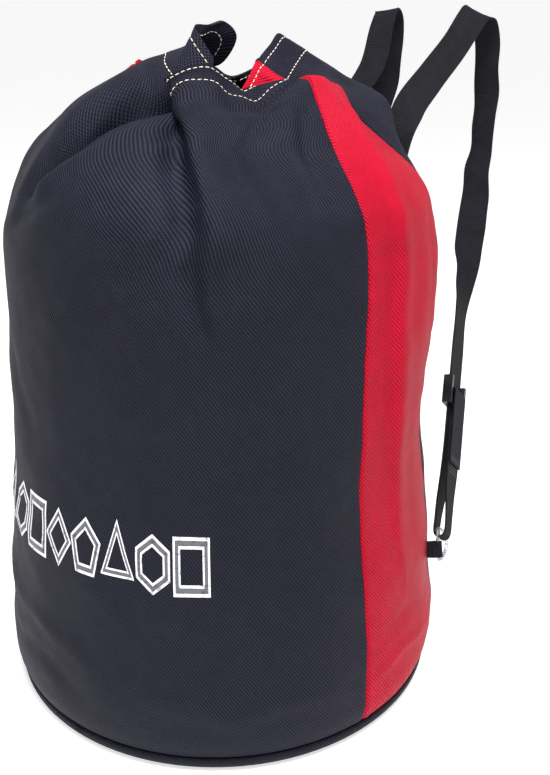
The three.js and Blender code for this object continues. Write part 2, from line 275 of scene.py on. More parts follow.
def ribbed_cloth(name, dark, light, pitch, contrast):
    """Coated polyester with slanted ribs, each crossed by fine threads, with painted light on the ribs."""
    material, n = new_material(name)
    u, v = n.cloth_place()
    turn = math.radians(52)
    wobble = n.math("MULTIPLY", n.noise(28.0), 0.7)
    along = n.math("SUBTRACT", n.math("MULTIPLY", u, math.cos(turn)), n.math("MULTIPLY", v, math.sin(turn)))
    across = n.math("ADD", n.math("MULTIPLY", u, math.sin(turn)), n.math("MULTIPLY", v, math.cos(turn)))
    ribs = n.wave(n.math("ADD", n.math("DIVIDE", across, pitch), wobble))
    half = n.math("MULTIPLY", n.math("FLOOR", n.math("DIVIDE", across, pitch)), 0.5)
    threads = n.wave(n.math("ADD", n.math("DIVIDE", along, pitch * 0.62), half))
    weave = n.math("MULTIPLY_ADD", threads, 0.35, n.math("MULTIPLY", ribs, 0.65))
    soft = n.noise(7.0, 3.0)
    wear = n.noise(60.0, 4.0)
    # Painted highlight on the rib tops and painted shade in the grooves, over the weave's pattern.
    tone = n.math("MULTIPLY", n.ramp(weave, 0.12, 0.88), n.ramp(soft, 0.3, 0.7, contrast * 0.7, contrast))
    tone = n.math("ADD", tone, n.ramp(wear, 0.45, 0.8, 0.0, 0.12))
    colour = n.mix(tone, dark, light)
    shine = n.math("ADD", n.ramp(weave, 0.0, 1.0, 0.62, 0.45), n.ramp(soft, 0.35, 0.65, -0.04, 0.04))
    crumple = n.bump(n.noise(22.0, 3.0), 0.0035, 0.35)
    normal = n.bump(weave, 0.0007, 0.9, crumple)
    n.finish(Base_Color=colour, Roughness=shine, Normal=normal, Specular_IOR_Level=0.09)
    return material


def webbing_material(name, dark, light, pitch, thread_pitch):
    """Woven webbing: ribs across it, with a chequer of threads."""
    material, n = new_material(name)
    u, v = n.cloth_place()
    ribs = n.wave(n.math("DIVIDE", v, pitch))
    half = n.math("MULTIPLY", n.math("FLOOR", n.math("DIVIDE", v, pitch)), 0.5)
    threads = n.wave(n.math("ADD", n.math("DIVIDE", u, thread_pitch), half))
    weave = n.math("MULTIPLY_ADD", threads, 0.4, n.math("MULTIPLY", ribs, 0.6))
    fuzz = n.noise(90.0, 4.0)
    tone = n.math("ADD", n.math("MULTIPLY", weave, 0.75), n.ramp(fuzz, 0.4, 0.8, 0.0, 0.3))
    normal = n.bump(weave, 0.0007, 0.9, n.bump(fuzz, 0.0006, 0.4))
    n.finish(Base_Color=n.mix(tone, dark, light), Normal=normal)
    n.finish(Roughness=n.ramp(weave, 0.0, 1.0, 0.8, 0.6), Specular_IOR_Level=0.15)
    return material


def fibre_material(name, dark, light, scale, detail, roughness, depth, sheen=0.0):
    """Thread or tape: a fine grain that colours the fibre and roughens it."""
    material, n = new_material(name)
    grain = n.noise(scale, detail)
    n.finish(Base_Color=n.mix(grain, dark, light), Roughness=roughness, Sheen_Weight=sheen)
    n.finish(Normal=n.bump(grain, depth, 0.6))
    return material


def ink_material(name, thin, full):
    """Printed ink with a little of the weave showing through."""
    material, n = new_material(name)
    cover = n.ramp(n.noise(260.0, 4.0), 0.30, 0.46)
    n.finish(Base_Color=n.mix(cover, thin, full), Roughness=n.ramp(cover, 0, 1, 0.7, 0.5))
    n.finish(Normal=n.bump(n.noise(700.0, 2.0), 0.0004, 0.5))
    return material


def plastic_material():
    material, n = new_material("black_plastic")
    grain = n.noise(900.0, 2.0)
    scuff = n.noise(45.0, 5.0)
    n.finish(Base_Color=n.mix(n.ramp(scuff, 0.5, 0.8), (0.006, 0.006, 0.008), (0.022, 0.022, 0.026)))
    n.finish(Roughness=n.ramp(scuff, 0.35, 0.7, 0.3, 0.48), Normal=n.bump(grain, 0.00012, 0.5))
    return material


def steel_material():
    material, n = new_material("nickel_steel")
    scratch = n.noise(120.0, 6.0)
    n.finish(Base_Color=n.mix(scratch, (0.34, 0.34, 0.36), (0.52, 0.52, 0.54)), Metallic=1.0)
    n.finish(Roughness=n.ramp(scratch, 0.3, 0.7, 0.22, 0.34), Normal=n.bump(scratch, 0.00005, 0.3))
    return material


def plain_floor():
    material, n = new_material("floor")
    n.finish(Base_Color=n.mix(n.noise(3.0), (0.80, 0.80, 0.80), (0.82, 0.82, 0.82)), Roughness=0.9)
    n.finish(Emission_Color=(1, 1, 1, 1), Emission_Strength=0.52)
    return material


# ---------- the cloth's shape ----------
# A point on the bag's cloth is named by its azimuth and by its distance up the cloth from the base
# seam. Rings of points at set distances give the shape, with smooth curves round and up between.

FRONT_SEAM = 75.5
BACK_SEAM = 115.5
SEAMS = {"front_right": FRONT_SEAM, "back_right": BACK_SEAM, "back_left": -BACK_SEAM,
         "front_left": -FRONT_SEAM}
LOWER_STITCHES = 578
UPPER_STITCHES = 600
HEM_EDGE = 606
CLOTH = 1.1  # thickness
TURNED_HEM = CLOTH * 1.8
WALL_RADIUS = 185  # turns angles into lengths round the standing wall
BASE_RADIUS = 190
TAPE_RADIUS = 180

# The standing wall: distance up the cloth, height and radius of each round ring, and how far it
# leans to the right in the axes described below.
WALL = [
    (0, 12, 195, 0), (14, 26, 199.5, 0), (36, 50, 201, 0), (106, 120, 195.5, 0), (186, 200, 187, 0),
    (286, 300, 182, 1.5), (346, 360, 181.5, 3), (396, 410, 180.5, 3.5),
]

# The gathered part's rings. Each point is (azimuth, right, away, height) in axes turned to the
# camera's side of the bag: right along azimuth 129, away along azimuth 219.
SHOULDER = [
    (FRONT_SEAM, 104, -141, 456), (90, 134, -111, 456), (105, 158, -60, 456), (BACK_SEAM, 167, -15, 457),
    (130, 169, 18, 457), (142, 164, 50, 461), (155, 158, 78, 458), (180, 110, 136, 455),
    (-155, 42, 170, 456), (-130, -31, 172, 456), (-BACK_SEAM, -74, 158, 456), (-92, -131, 115, 456),
    (-FRONT_SEAM, -158, 72, 456), (-58, -168, 22, 452), (-40, -159, -36, 446), (-31, -153, -58, 449),
    (-22, -142, -76, 449), (-12, -131, -108, 455), (1, -102, -139, 456), (11, -73, -157, 457),
    (18, -43, -167, 457), (23, -22, -165, 454), (28, -7, -174, 457), (44, 33, -172, 457),
    (63, 71, -159, 457),
]
OUTER_GATHER = [
    (FRONT_SEAM, 85, -115, 500), (85, 101, -95, 503), (95, 112, -73, 503), (105, 114, -52, 503),
    (BACK_SEAM, 114, -31, 506), (122, 128, -10, 508), (130, 138, 14, 511), (142, 146, 45, 512),
    (153, 148, 74, 503), (165, 132, 99, 492), (180, 104, 126, 491), (-166, 68, 142, 486),
    (-152, 32, 158, 493), (-134, -22, 156, 487), (-BACK_SEAM, -70, 148, 492), (-102, -104, 120, 487),
    (-88, -130, 95, 484), (-FRONT_SEAM, -142, 64, 482), (-61, -147, 28, 486), (-48, -139, -4, 488),
    (-40, -130, -30, 493), (-33, -129, -56, 487), (-27, -121, -66, 471), (-21, -110, -66, 462),
    (-14, -112, -84, 480), (-6, -100, -101, 488), (1, -87, -115, 489), (8, -66, -124, 492),
    (15, -43, -126, 491), (19, -27, -122, 487), (24, -15, -132, 493), (34, 2, -137, 495),
    (50, 26, -137, 497), (61, 53, -131, 497), (69, 71, -123, 498),
]
INNER_GATHER = [
    (FRONT_SEAM, 77, -75, 524), (85, 86, -60, 528), (95, 94, -46, 528), (105, 99, -31, 528),
    (BACK_SEAM, 103, -17, 528), (124, 108, 6, 528), (134, 112, 30, 532), (145, 117, 58, 523),
    (156, 105, 78, 509), (168, 88, 98, 515), (180, 62, 98, 503), (-168, 40, 122, 511), (-155, 12, 112, 502),
    (-142, -10, 128, 510), (-129, -38, 108, 502), (-BACK_SEAM, -68, 116, 508), (-103, -82, 88, 502),
    (-90, -106, 76, 494), (-FRONT_SEAM, -114, 47, 496), (-62, -118, 22, 507), (-48, -113, 0, 515),
    (-36, -106, -26, 520), (-28, -102, -50, 516), (-22, -92, -62, 502), (-15, -78, -60, 490),
    (-8, -72, -82, 504), (0, -58, -94, 511), (9, -42, -101, 508), (15, -27, -98, 502), (21, -20, -108, 509),
    (29, -3, -114, 511), (40, 18, -107, 513), (50, 33, -98, 513), (62, 56, -86, 519), (70, 69, -80, 523),
]
PINCH = [
    (FRONT_SEAM, 71, -42, 537), (85, 77, -37, 538), (95, 81, -30, 537), (106, 84, -23, 534),
    (BACK_SEAM, 86, -14, 533), (122, 89, 2, 537), (130, 93, 22, 543), (140, 99, 46, 537),
    (152, 80, 60, 522), (166, 70, 92, 522), (180, 42, 82, 510), (-166, 12, 104, 518), (-150, -10, 84, 509),
    (-134, -50, 98, 516), (-BACK_SEAM, -66, 72, 511), (-100, -90, 66, 508), (-88, -101, 42, 512),
    (-FRONT_SEAM, -97, 26, 514), (-61, -90, 10, 521), (-43, -68, -10, 539), (-31, -57, -32, 547),
    (-22, -55, -53, 540), (-14, -46, -64, 524), (-7, -34, -62, 508), (-1, -33, -76, 514),
    (5, -24, -76, 517), (11, -19, -76, 513), (17, -29, -85, 515), (23, -26, -93, 521), (30, -12, -97, 524),
    (38, 3, -94, 522), (45, 14, -87, 517), (51, 25, -81, 515), (58, 37, -72, 515), (65, 51, -60, 524),
    (71, 63, -50, 533),
]
LOWER_HEM = [
    (FRONT_SEAM, 56, -32, 530), (94, 49, -26, 525), (106, 52, -25, 528), (BACK_SEAM, 59, -22, 535),
    (122, 68, -2, 545), (130, 77, 18, 553), (138, 82, 44, 546), (151, 62, 52, 534), (166, 56, 84, 526),
    (180, 30, 68, 520), (-166, 10, 92, 522), (-150, -5, 66, 517), (-133, -46, 84, 521),
    (-BACK_SEAM, -52, 58, 521), (-100, -73, 54, 522), (-88, -80, 32, 530), (-FRONT_SEAM, -78, 20, 530),
    (-60, -70, 5, 535), (-43, -46, -8, 547), (-30, -36, -28, 554), (-20, -36, -46, 548),
    (-9, -28, -61, 538), (4, -11, -67, 521), (12, -22, -74, 518), (17, -31, -79, 527), (23, -24, -81, 537),
    (30, -11, -81, 539), (37, 2, -78, 537), (44, 11, -72, 528), (51, 21, -66, 525), (58, 33, -59, 521),
    (64, 45, -49, 530), (70, 58, -41, 535),
]
HEM = [
    (FRONT_SEAM, 26, -42, 526), (90, 22, -35, 527), (102, 28, -25, 536), (BACK_SEAM, 36, -10, 548),
    (122, 46, 4, 558), (128, 53, 16, 566), (134, 60, 30, 562), (142, 56, 42, 552), (153, 38, 44, 545),
    (166, 36, 64, 537), (180, 18, 50, 531), (-166, 5, 70, 532), (-150, 0, 48, 528), (-133, -30, 62, 532),
    (-BACK_SEAM, -32, 42, 530), (-100, -52, 40, 533), (-90, -60, 20, 545), (-FRONT_SEAM, -50, 8, 545),
    (-58, -24, 2, 545), (-42, 8, -3, 546), (-31, 19, -13, 567), (-23, 9, -22, 577), (-17, -2, -34, 575),
    (-11, -12, -43, 575), (0, 1, -52, 549), (12, -16, -60, 541), (22, -36, -72, 538), (29, -20, -75, 547),
    (38, -3, -71, 549), (48, 10, -62, 540), (58, 20, -50, 529), (67, 26, -46, 529),
]
GATHERED = [
    (452, SHOULDER), (500, OUTER_GATHER), (532, INNER_GATHER), (557, PINCH),
    (LOWER_STITCHES, LOWER_HEM), (HEM_EDGE, HEM),
]


def distances(points):
    """How far along its route each point lies."""
    return np.concatenate([[0], np.cumsum(np.linalg.norm(np.diff(points, axis=0), axis=1))])


def hermite(values, knots, at, period=None):
    """Smooth curve through values, shape (knots, ..., 3), read at one place per column or point."""
    index = np.clip(np.searchsorted(knots, at, side="right") - 1, 0, len(knots) - 2)
    low, high = knots[index], knots[index + 1]
    t = ((at - low) / (high - low))[:, None]
    slopes = np.empty_like(values)
    steps = np.diff(knots).reshape((-1,) + (1,) * (values.ndim - 1))
    rise = np.diff(values, axis=0) / steps
    slopes[1:-1] = (rise[:-1] * steps[1:] + rise[1:] * steps[:-1]) / (steps[1:] + steps[:-1])
    if period:
        ends = (rise[-1] * steps[0] + rise[0] * steps[-1]) / (steps[0] + steps[-1])
        slopes[0] = slopes[-1] = ends
    else:
        slopes[0], slopes[-1] = rise[0], rise[-1]
    if values.ndim == 2:
        a, b, da, db = values[index], values[index + 1], slopes[index], slopes[index + 1]
    else:
        column = np.arange(values.shape[1])
        a, b = values[index, column], values[index + 1, column]
        da, db = slopes[index, column], slopes[index + 1, column]
    width = (high - low)[:, None]
    return ((2 * t**3 - 3 * t**2 + 1) * a + (t**3 - 2 * t**2 + t) * width * da
            + (3 * t**2 - 2 * t**3) * b + (t**3 - t**2) * width * db)


def ring_points(ring, azimuth):
    """Points on one gathered ring at many azimuths."""
    rows = np.array(sorted(ring), dtype=float)
    rows = np.vstack([rows, rows[0] + [360, 0, 0, 0]])
    turn = math.radians(VIEW_TURN)
    right, away, height = rows[:, 1], rows[:, 2], rows[:, 3]
    points = np.stack([
        right * math.cos(turn) - away * math.sin(turn),
        right * math.sin(turn) + away * math.cos(turn),
        height,
    ], axis=1)
    wrapped = (azimuth - rows[0, 0]) % 360 + rows[0, 0]
    return hermite(points, rows[:, 0], wrapped, period=360)


def base_shape(azimuth, up):
    """The bag's surface before its small folds, for arrays of azimuths and distances up the cloth."""
    a = np.radians(azimuth)
    rings, knots = [], []
    turn = math.radians(VIEW_TURN)
    for distance, height, radius, lean in WALL:
        x = radius * np.sin(a) + lean * math.cos(turn)
        y = lean * math.sin(turn) - radius * np.cos(a)
        rings.append(np.stack([x, y, np.full_like(a, height)], axis=1))
        knots.append(distance)
    for distance, ring in GATHERED:
        rings.append(ring_points(ring, azimuth))
        knots.append(distance)
    return hermite(np.array(rings), np.array(knots, dtype=float), up)


# Small folds: a route of (azimuth, distance up the cloth), height, width, and for some a lean, which
# makes one side steeper.
FOLDS = [
    ([(22, 545), (22, 528), (25, 500), (29, 452), (33, 425), (36, 396), (38, 360)], 4.5, 7, 0.4),
    ([(15, 545), (16, 528), (19, 500), (23, 452), (28, 425), (32, 396), (35, 360)], -5.5, 7),
    ([(91, 500), (88, 430), (88, 340), (90, 240), (91, 130)], 4.8, 11, 0.6),
    ([(110, 420), (111, 360), (112, 315)], 4.6, 48),
    ([(113, 270), (114, 240), (115, 180)], -3.0, 44),
    ([(104, 470), (107, 380), (109, 300)], -1.6, 12),
    ([(84, 400), (86, 300), (83, 230)], -1.4, 10),
    ([(69, 545), (66, 520), (66, 495), (68, 470)], -3.4, 6),
    ([(62, 540), (60, 505), (60, 470)], 2.2, 9),
    ([(48, 545), (47, 520), (44, 490), (44, 455)], -2.6, 9, 0.3),
    ([(4, 524), (-3, 500), (-12, 474), (-20, 452)], 3.0, 7, 0.4),
    ([(-2, 470), (-14, 446), (-30, 420)], -2.6, 9),
    ([(100, 520), (99, 512), (98, 506)], -3.8, 4),
    ([(97, 519), (95, 512), (95, 504)], 1.8, 4),
    ([(78, 40), (90, 52), (104, 46), (113, 54)], 2.2, 6, 0.3),
    ([(80, 76), (92, 84), (106, 74)], -1.5, 8),
    ([(-46, 120), (-30, 96), (-12, 88), (4, 72)], 2.4, 10, 0.3),
    ([(-48, 60), (-30, 50), (-14, 56), (2, 42)], -2.2, 9),
    ([(-44, 200), (-30, 170), (-16, 160)], 2.0, 12),
    ([(-40, 330), (-28, 300), (-18, 250)], -2.0, 14),
    ([(20, 60), (40, 44), (60, 52), (72, 40)], 1.4, 10),
    ([(52, 440), (50, 360), (54, 280)], 2.0, 26),
    ([(2, 440), (8, 360), (4, 260), (10, 180)], -2.4, 24),
    ([(64, 420), (66, 330), (64, 240)], -1.6, 16),
    ([(130, 470), (134, 380), (132, 280), (136, 180)], -3.0, 18),
    ([(150, 480), (152, 400), (156, 300)], 3.2, 20),
    ([(186, 470), (182, 380), (188, 260)], -3.4, 22),
    ([(-160, 480), (-156, 380), (-160, 250)], 3.0, 20),
    ([(-130, 470), (-134, 360), (-128, 220)], -3.0, 18),
    ([(150, 70), (170, 52), (195, 60), (215, 46)], 2.6, 10),
    ([(-96, 500), (-94, 400), (-96, 280), (-94, 160)], 3.0, 18, 0.4),
    ([(-60, 440), (-58, 340), (-62, 240)], -2.4, 16),
]


def fold_relief(azimuth, up, route, height, width, lean=0.0):
    """Height of one soft fold. It fades at both ends of its route."""
    around = np.radians(azimuth) * WALL_RADIUS
    local = np.interp(up, [440, 500, 532, 557, 578], [1, 0.85, 0.66, 0.48, 0.42])
    best = np.full(azimuth.shape, 1e9)
    signed = np.zeros(azimuth.shape)
    place = np.zeros(azimuth.shape)
    points = [(math.radians(p) * WALL_RADIUS, q) for p, q in route]
    for k, ((x0, y0), (x1, y1)) in enumerate(zip(points, points[1:])):
        dx, dy = x1 - x0, y1 - y0
        size = dx * dx + dy * dy
        t = np.clip(((around - x0) * dx + (up - y0) * dy) / size, 0, 1)
        ox, oy = (around - x0 - t * dx) * local, up - y0 - t * dy
        far = np.hypot(ox, oy)
        near = far < best
        best = np.where(near, far, best)
        signed = np.where(near, np.sign(ox * dy - oy * dx) * far, signed)
        place = np.where(near, (k + t) / (len(points) - 1), place)
    fade = np.sin(math.pi * np.clip(place * 0.86 + 0.07, 0, 1)) ** 0.7
    skewed = np.where(signed > 0, signed / (1 - 0.6 * lean), signed / (1 + 0.6 * lean))
    return height * fade * np.exp(-((skewed / width) ** 2))


def smoothstep(value, low, high):
    t = np.clip((value - low) / (high - low), 0, 1)
    return t * t * (3 - 2 * t)


def crumple(azimuth, up):
    """Slight unevenness all over the cloth: a few slow waves with seeded directions."""
    random = np.random.default_rng(7)
    around = np.radians(azimuth) * WALL_RADIUS
    total = np.zeros(azimuth.shape)
    for wavelength, height, count in ((150, 1.1, 6), (62, 0.42, 8), (27, 0.16, 10)):
        for _ in range(count):
            turn, start = random.uniform(0, 2 * math.pi, 2)
            repeat = max(1, round(2 * math.pi * WALL_RADIUS * abs(math.cos(turn)) / wavelength))
            kx = math.copysign(repeat / WALL_RADIUS, math.cos(turn))
            ky = 2 * math.pi * math.sin(turn) / wavelength
            total += height / math.sqrt(count) * np.sin(kx * around + ky * up + start)
    return total


def relief(azimuth, up):
    """How far the cloth stands out from its base shape, in millimetres."""
    wrapped = (azimuth + 180) % 360 - 180
    total = crumple(azimuth, up) * smoothstep(up, 0, 60) * (1 - 0.75 * smoothstep(up, 500, 560))
    for route, *shape in FOLDS:
        for turn in (0, 360, -360):  # a fold near azimuth 180 is met from both sides of it
            if turn == 0 or abs(route[0][0] - turn / 2) < 50:
                total += fold_relief(wrapped + turn, up, route, *shape)
    local = np.interp(up, [400, 500, 560, 606], [185, 150, 90, 70])
    for seam in SEAMS.values():
        away = np.abs(np.radians(wrapped - seam)) * local
        total -= 1.6 * np.exp(-((away / 1.5) ** 2)) - 0.25 * np.exp(-(((away - 5) / 3.0) ** 2))
        total += 0.14 * np.exp(-((away / 6) ** 2)) * (np.sin(up / 4.1 + seam) + np.sin(up / 9.3))
    total -= 1.8 * np.exp(-((up / 3.0) ** 2))
    total += 0.5 * smoothstep(up, LOWER_STITCHES - 3, LOWER_STITCHES + 1)
    for row in (LOWER_STITCHES, UPPER_STITCHES):
        total -= 0.45 * np.exp(-(((up - row) / 1.6) ** 2))
    return total


def cloth(azimuth, up, offset=0.0):
    """Points on the bag's cloth, and their outward directions."""
    azimuth, up = (np.asarray(x, dtype=float) for x in np.broadcast_arrays(azimuth, up))
    here = base_shape(azimuth, up)
    sideways = base_shape(azimuth + 0.25, up) - base_shape(azimuth - 0.25, up)
    above, below = np.minimum(up + 0.6, HEM_EDGE), np.maximum(up - 0.6, 0)
    upwards = base_shape(azimuth, above) - base_shape(azimuth, below)
    normal = np.cross(sideways, upwards)
    normal /= np.maximum(np.linalg.norm(normal, axis=1, keepdims=True), 1e-9)
    return here + normal * (relief(azimuth, up) + offset)[:, None], normal


# ---------- the bag's cloth pieces ----------


def cloth_rows():
    """Distances up the cloth for a panel's rows, closer together where the mouth is gathered."""
    rows = list(np.arange(0, 12, 1.5)) + list(np.arange(12, 440, 4.0)) + list(np.arange(440, 572, 2.0))
    return np.array(rows + list(np.arange(572, HEM_EDGE, 1.5)) + [HEM_EDGE])


def panel(name, start, end, material, node):
    """One sewn panel of the bag, from one seam to the next."""
    rows = cloth_rows()
    spread = np.linspace(start, end, int(round((end - start) / 0.8)) + 1)
    fine = np.linspace(0, 1, 9)[1:-1]  # more columns beside each seam
    near_start = start + fine * (spread[3] - start)
    near_end = end - fine * (end - spread[-4])
    azimuth = np.sort(np.concatenate([spread, near_start, near_end]))
    grid_a, grid_u = np.meshgrid(azimuth, rows)
    points, normals = cloth(grid_a.ravel(), grid_u.ravel())
    shape = (len(rows), len(azimuth), 3)
    outer, normals = points.reshape(shape), normals.reshape(shape)
    thick = np.where(grid_u > LOWER_STITCHES, TURNED_HEM, CLOTH)[:, :, None]
    inner = outer - normals * thick
    row_lengths = np.linalg.norm(np.diff(outer, axis=1), axis=2).sum(axis=1)
    around = (grid_a - (start + end) / 2) / (end - start) * row_lengths[:, None]
    item = sheet_with_thickness(name, outer, inner, np.stack([around, grid_u], axis=2))
    item.data.materials.append(material)
    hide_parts(node)
    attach(item, "bag")


def lathe(name, outline, steps, material):
    """A round piece from a closed outline of (radius, height). uv runs round and along it."""
    points, uv = [], []
    run = 0.0
    for k, (radius, height) in enumerate(outline):
        if k:
            run += math.dist(outline[k - 1], (radius, height))
        for i in range(steps):
            a = 2 * math.pi * i / steps
            points.append((radius * math.sin(a), -radius * math.cos(a), height))
            uv.append((a * BASE_RADIUS, run))
    item = closed_body(name, points, hoop_faces(len(outline), steps), uv)
    item.data.materials.append(material)
    return item


def base_cloth(material):
    """The round base, slightly crowned, with its edge turned up to the wall's seam."""
    flat, bend = np.linspace(5, 185, 10), np.radians(np.linspace(0, 90, 9))[1:]
    outline = [(r, 0.4 + 1.6 * math.cos(math.pi * r / 370) ** 2) for r in flat]
    outline += [(186 + 10.5 * math.sin(a), 9.2 - 9 * math.cos(a)) for a in bend]
    inner = [(r - 1.2 if r > 186 else r, h + 1.6) for r, h in outline]
    outline += [(196.2, 11.8), (194.6, 12.9), (192.6, 11.8)]  # the raw edge, inside the wall
    item = lathe("base_cloth", outline + inner[::-1], 144, material)
    shape = bmesh.new()
    shape.from_mesh(item.data)
    middle = [v for v in shape.verts if math.hypot(v.co.x, v.co.y) < 6 * MM]
    rims = [[v for v in middle if (v.co.z > 3 * MM) == inside] for inside in (False, True)]
    for rim in rims:
        bmesh.ops.pointmerge(shape, verts=rim, merge_co=Vector((0, 0, rim[0].co.z)))
    shape.to_mesh(item.data)
    shape.free()
    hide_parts("base_panel")
    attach(item, "bag")


def seam_tapes(material):
    """Binding tape folded over the raw edges inside the bag: round the base and up the seams."""
    outline = [(183.5, 13.2), (188, 12.6), (192.5, 13.4), (193, 15), (192.5, 16.4), (188, 15.6),
               (183.5, 16.6), (182.6, 15)]
    item = lathe("base_seam_tape", outline, 120, material)
    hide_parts("base_seam_binding")
    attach(item, "bag")
    rows = np.arange(24, 452, 6.0)
    section = [(2.0, -1.2), (6, -1.7), (10.5, -1.3), (11.4, 0), (10.5, 1.3), (6, 1.7), (2.0, 1.2), (1.4, 0)]
    for name, azimuth in SEAMS.items():
        loops = []
        for depth, aside in section:
            turned = azimuth + math.degrees(aside / TAPE_RADIUS) + 0.25 * np.sin(rows / 23)
            loops.append(cloth(turned, rows, -CLOTH - depth)[0])
        item = tube_of_loops(f"{name}_seam_tape", np.stack(loops, axis=1))
        item.data.materials.append(material)
        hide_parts(f"{name}_seam_binding")
        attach(item, "bag")


def tube_of_loops(name, loops):
    """A closed tube from loops of points, shape (loops, around, 3), in millimetres."""
    count, around = loops.shape[:2]
    run = distances(loops.mean(axis=1))
    wide = np.linalg.norm(np.roll(loops, -1, axis=1) - loops, axis=2)
    side = np.concatenate([np.zeros((count, 1)), np.cumsum(wide, axis=1)[:, :-1]], axis=1)
    uv = np.stack([side, np.repeat(run[:, None], around, axis=1)], axis=2).reshape(-1, 2)
    return closed_body(name, loops.reshape(-1, 3), tube_faces(count, around), uv)


# ---------- stitching ----------

# Rings along one dash: place along it, size, and lift. Its ends are thin and sink into the cloth.
DASH_RINGS = ((0, 0.35, -0.35), (0.18, 0.9, 0.05), (0.5, 1.0, 0.22), (0.82, 0.9, 0.05), (1, 0.35, -0.35))
DASH_SIDES = 6


def dash_points(start, end, normal, radius):
    along = unit(end - start)
    aside = unit(np.cross(along, normal))
    up = np.cross(aside, along)
    points = []
    for place, size, lift in DASH_RINGS:
        middle = start + (end - start) * place + up * radius * lift
        for k in range(DASH_SIDES):
            a = 2 * math.pi * k / DASH_SIDES
            points.append(middle + radius * size * (aside * math.cos(a) + up * 0.8 * math.sin(a)))
    return points


def dash_mesh(name, dashes, radius, material, body):
    """Thread dashes lying on cloth. Each dash is (start, end, outward direction) in millimetres."""
    tube = tube_faces(len(DASH_RINGS), DASH_SIDES)
    points, faces = joined((dash_points(*dash, radius), tube) for dash in dashes)
    item = closed_body(name, points, faces, angle=80)
    item.data.materials.append(material)
    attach(item, body)


def dashes_along(points, normals, pitch=4.7, fill=0.72):
    """Splits a route of points into dashes of even length."""
    run = distances(points)
    dashes = []
    for k in range(int(run[-1] / pitch)):
        places = [k * pitch, (k + fill) * pitch]
        ends = [np.array([np.interp(p, run, points[:, c]) for c in range(3)]) for p in places]
        normal = np.array([np.interp(sum(places) / 2, run, normals[:, c]) for c in range(3)])
        dashes.append((ends[0], ends[1], normal))
    return dashes


def hem_stitches(material):
    """Two rows of cream stitches round the hem, seen outside and inside."""
    azimuth = np.arange(-180, 180.1, 0.25)
    for name, row in (("lower_hem_stitches", LOWER_STITCHES), ("upper_hem_stitches", UPPER_STITCHES)):
        dashes = []
        outside, normal = cloth(azimuth, np.full_like(azimuth, row), 0.3)
        dashes += dashes_along(outside, normal)
        inside, normal = cloth(azimuth, np.full_like(azimuth, row), -TURNED_HEM - 0.3)
        dashes += dashes_along(inside, -normal)
        dash_mesh(name, dashes, 0.42, material, "bag")


# ---------- the printed band ----------

PRINT_RADIUS = 188
LAST_MARK = 31.5  # azimuth of the mark nearest the right seam
MARK_SPACING = 9.3
MARKS_UP = 177
SMALL_MARK = (-46.5, 290)


def polygon(sides, radius, turn=0.0, squash=1.0):
    """Corners of a regular polygon round (0, 0)."""
    corners = [math.radians(turn + 360 * k / sides) for k in range(sides)]
    return [(radius * squash * math.sin(a), radius * math.cos(a)) for a in corners]


def subdivided(corners, step=2.0):
    points = []
    for (x0, y0), (x1, y1) in zip(corners, corners[1:] + corners[:1]):
        parts = max(1, int(math.hypot(x1 - x0, y1 - y0) / step))
        points += [(x0 + (x1 - x0) * k / parts, y0 + (y1 - y0) * k / parts) for k in range(parts)]
    return points


def printed_ring(corners, scale_out, scale_in, centre, lift):
    """A printed outline between two sizes of one shape, as a thin closed body on the cloth."""
    azimuth, up = centre
    loops = []
    for scale, offset in ((scale_out, lift), (scale_out, -0.35), (scale_in, -0.35), (scale_in, lift)):
        flat = np.array(subdivided(corners)) * scale
        loops.append(cloth(azimuth + np.degrees(flat[:, 0] / PRINT_RADIUS), up + flat[:, 1], offset)[0])
    return np.concatenate(loops), hoop_faces(len(loops), len(loops[0]))


def printed_band(white, grey):
    """A row of outlined geometric marks round the front's lower half, and a small one above them."""
    shapes = [
        polygon(4, 36, 45, 0.56), polygon(6, 26, 0, 0.62), polygon(3, 33, 0, 0.52),
        polygon(5, 27, 0, 0.60), polygon(4, 26, 0, 0.60),
    ]
    outlines, fills = [], []
    for k in range(9):
        centre = (LAST_MARK - MARK_SPACING * k, MARKS_UP)
        shape = shapes[k % len(shapes)]
        outlines.append(printed_ring(shape, 1.0, 0.885, centre, 0.12))
        fills.append(printed_ring(shape, 0.885, 0.70, centre, 0.10))
        outlines.append(printed_ring(shape, 0.70, 0.60, centre, 0.12))
    outlines.append(printed_ring(polygon(4, 9), 1.0, 0.6, SMALL_MARK, 0.12))
    for name, rings, material in (("print_outlines", outlines, white), ("print_fills", fills, grey)):
        points, faces = joined(rings)
        item = mesh_object(name, points * MM, faces)
        outward(item)
        item.data.materials.append(material)
        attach(item, "bag")


# ---------- straps ----------
# The strap route repeats the CAD model's: millimetres, for a strap on the +X side.

WEBBING_WIDTH = 30
WEBBING_THICK = 1.8
RING_BAR = np.array([186.0, 86.0, 122.0])
STRAP_START = np.array([77.0, 190.0, 496.0])
RING_HALF_BAR = 16
RING_REACH = 24
LOOP_LENGTH = 135
LOOP_HALF = 5.3
LEG_HALF = 4.7
ANCHOR_AZIMUTH = 152.8
PATCH_RADIUS = 182
ROOT_LIFTS = ((388, 2.6), (412, 2.6), (436, 3.2))  # distance up the cloth, height off it
ROOT_ACROSS = (0.89, -0.45, 0)
ROOT_TOP = (78.5, 173, 472)
APEX = 4  # the upper run's point where the webbing is cut into two pieces

